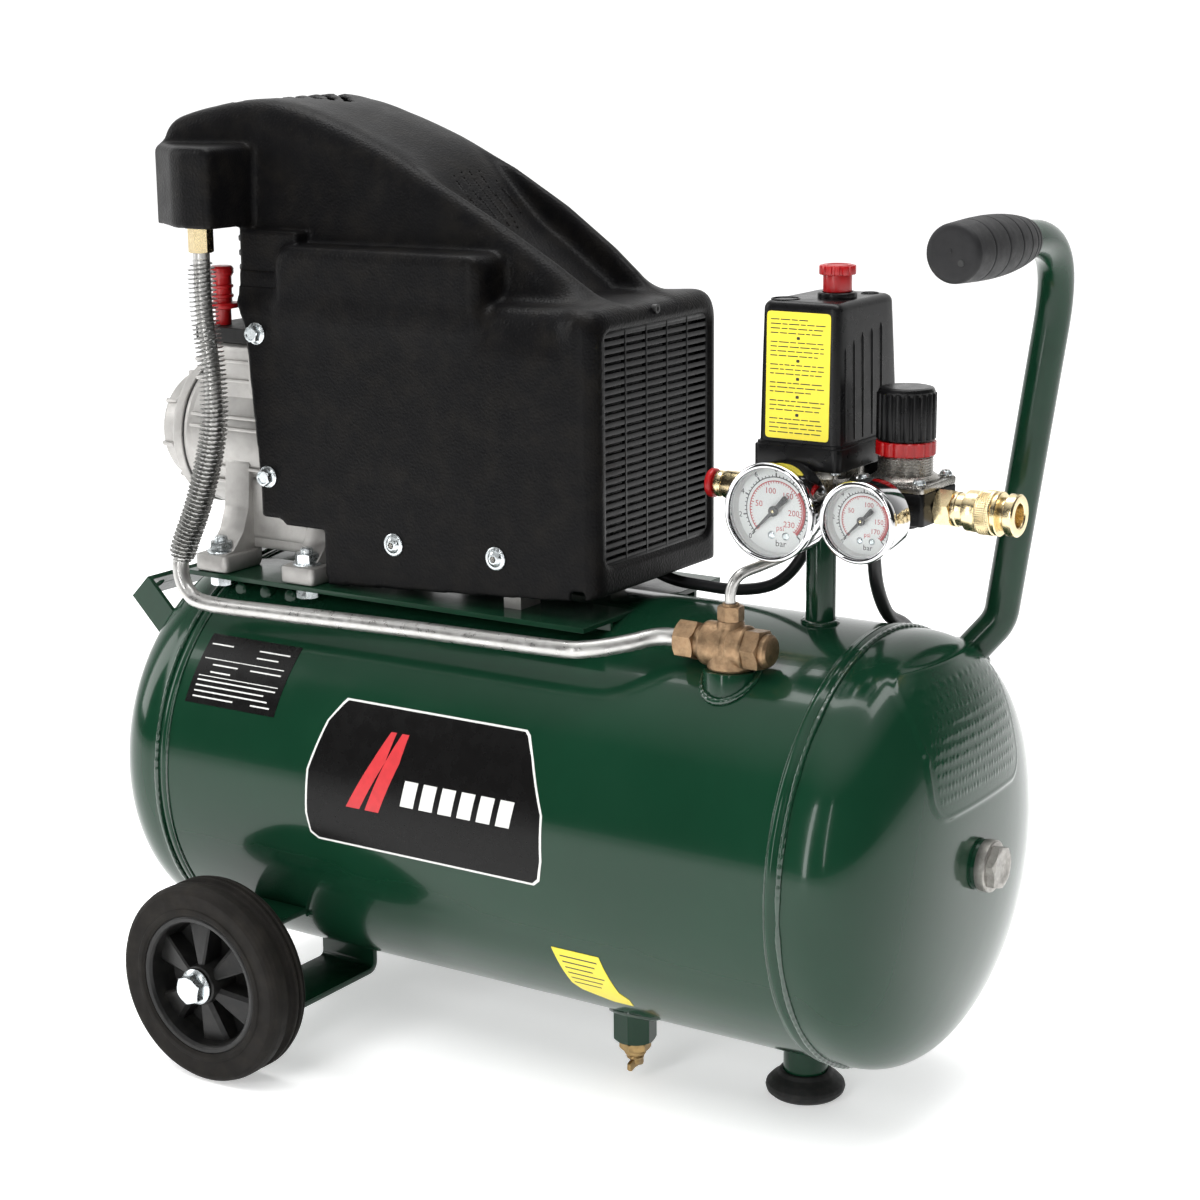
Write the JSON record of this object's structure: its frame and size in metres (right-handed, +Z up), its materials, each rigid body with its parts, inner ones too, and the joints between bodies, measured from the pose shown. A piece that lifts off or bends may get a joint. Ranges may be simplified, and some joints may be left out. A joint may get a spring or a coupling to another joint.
{
  "type": "air compressor",
  "caption": "Portable direct-drive air compressor: horizontal green tank on two wheels and a rubber foot, shrouded piston pump, pressure switch, gauges and regulator.",
  "frame": {"origin": "middle of the footprint at floor level, under the tank axis", "axes": "+X along the tank towards the handle end, -Y is the side with the gauges, +Z up"},
  "size_m": [0.586, 0.4178, 0.5743],
  "materials": {
    "tank_paint": "gloss",
    "cast_alloy": "sand cast",
    "cast_black": "black cast",
    "black_plastic": "fine grain",
    "red_plastic": "gloss",
    "rubber": "matt",
    "tyre_rubber": "matt",
    "brass": "machined",
    "rough_brass": "sand cast",
    "zinc": "zinc plated",
    "nickel": "nickel plated",
    "steel": "machined",
    "tube_alloy": "drawn",
    "lens": "clear",
    "cable": "matt"
  },
  "bodies": {
    "frame": {"tank_shell": "tank_paint", "front_head": "tank_paint", "rear_head": "tank_paint", "wheel_brackets": "tank_paint", "axle_bolts": "zinc", "rubber_foot": "rubber", "rear_strap": "tank_paint", "pump_platform": "tank_paint", "handle_tube": "tank_paint", "handle_grip": "rubber", "riser_pipe": "tank_paint", "tank_plug": "zinc", "drain_valve": "brass", "crankcase": "cast_alloy", "crankcase_cover": "cast_alloy", "cylinder_barrel": "cast_black", "cylinder_head": "cast_alloy", "pump_bearings": "steel", "breather_plug": "red_plastic", "motor_body": "cast_alloy", "run_capacitor": "tube_alloy", "pump_bolts": "zinc", "shroud": "black_plastic", "shroud_screws": "zinc", "delivery_elbow": "brass", "delivery_tube": "tube_alloy", "check_valve": "rough_brass", "unloader_tube": "tube_alloy", "manifold_block": "nickel", "switch_base": "black_plastic", "switch_cover": "black_plastic", "relief_valve": "brass", "tank_gauge": "zinc", "outlet_gauge": "zinc", "gauge_lenses": "lens", "regulator_body": "cast_black", "regulator_bonnet": "nickel", "coupler_body": "brass", "motor_lead": "cable", "cord_gland": "black_plastic", "mains_cord": "cable", "cord_coil": "cable", "mains_plug": "black_plastic"},
    "left_wheel": {"left_wheel": "black_plastic", "left_tyre": "tyre_rubber"},
    "right_wheel": {"right_wheel": "black_plastic", "right_tyre": "tyre_rubber"},
    "crankset": {"crankshaft": "steel", "motor_rotor": "steel", "cooling_fan": "black_plastic"},
    "piston": {"piston": "cast_alloy"},
    "conrod": {"connecting_rod": "cast_alloy"},
    "switch_knob": {"switch_knob": "red_plastic"},
    "regulator_knob": {"regulator_knob": "black_plastic"},
    "lock_ring": {"lock_ring": "red_plastic"},
    "coupler_sleeve": {"coupler_sleeve": "brass"},
    "relief_pull": {"relief_pull": "red_plastic"},
    "tank_needle": {"tank_needle": "black_plastic"},
    "outlet_needle": {"outlet_needle": "black_plastic"},
    "drain_screw": {"drain_screw": "brass"}
  },
  "joints": [
    {"name": "left_wheel_spin", "type": "hinge", "parent": "frame", "child": "left_wheel", "pos_m": [-0.15, -0.164, 0.061], "axis": [0, 1, 0], "continuous": true},
    {"name": "right_wheel_spin", "type": "hinge", "parent": "frame", "child": "right_wheel", "pos_m": [-0.15, 0.164, 0.061], "axis": [0, 1, 0], "continuous": true},
    {"name": "crank_spin", "type": "hinge", "parent": "frame", "child": "crankset", "pos_m": [-0.18, 0, 0.362], "axis": [1, 0, 0], "continuous": true},
    {"name": "piston_slide", "type": "slide", "parent": "frame", "child": "piston", "axis": [0, 0, 1], "range_m": [-0.03, 0]},
    {"name": "conrod_swing", "type": "hinge", "parent": "piston", "child": "conrod", "pos_m": [-0.2, 0, 0.474], "axis": [1, 0, 0], "range_deg": [-12, 12]},
    {"name": "switch_press", "type": "slide", "parent": "frame", "child": "switch_knob", "axis": [0, 0, 1], "range_m": [-0.008, 0]},
    {"name": "regulator_turn", "type": "hinge", "parent": "frame", "child": "regulator_knob", "pos_m": [0.221, 0, 0.41], "axis": [0, 0, 1], "range_deg": [0, 1080]},
    {"name": "lock_ring_turn", "type": "hinge", "parent": "frame", "child": "lock_ring", "pos_m": [0.221, 0, 0.391], "axis": [0, 0, 1], "range_deg": [0, 720]},
    {"name": "coupler_release", "type": "slide", "parent": "frame", "child": "coupler_sleeve", "axis": [-1, 0, 0], "range_m": [0, 0.004], "stiffness_N_per_m": 600, "springref_m": -0.004},
    {"name": "relief_pull_out", "type": "slide", "parent": "frame", "child": "relief_pull", "axis": [-1, 0, 0], "range_m": [0, 0.003], "stiffness_N_per_m": 600, "springref_m": -0.004},
    {"name": "tank_needle_turn", "type": "hinge", "parent": "frame", "child": "tank_needle", "pos_m": [0.17, -0.0558, 0.36], "axis": [0, 1, 0], "range_deg": [0, 270], "stiffness_Nm_per_rad": 0.0004, "springref_deg": -17.19},
    {"name": "outlet_needle_turn", "type": "hinge", "parent": "frame", "child": "outlet_needle", "pos_m": [0.223, -0.0558, 0.36], "axis": [0, 1, 0], "range_deg": [0, 270], "stiffness_Nm_per_rad": 0.0004, "springref_deg": -17.19},
    {"name": "drain_screw_turn", "type": "hinge", "parent": "frame", "child": "drain_screw", "pos_m": [0.07, -0.04, 0.02], "axis": [0, 0, 1], "range_deg": [0, 720]}
  ]
}
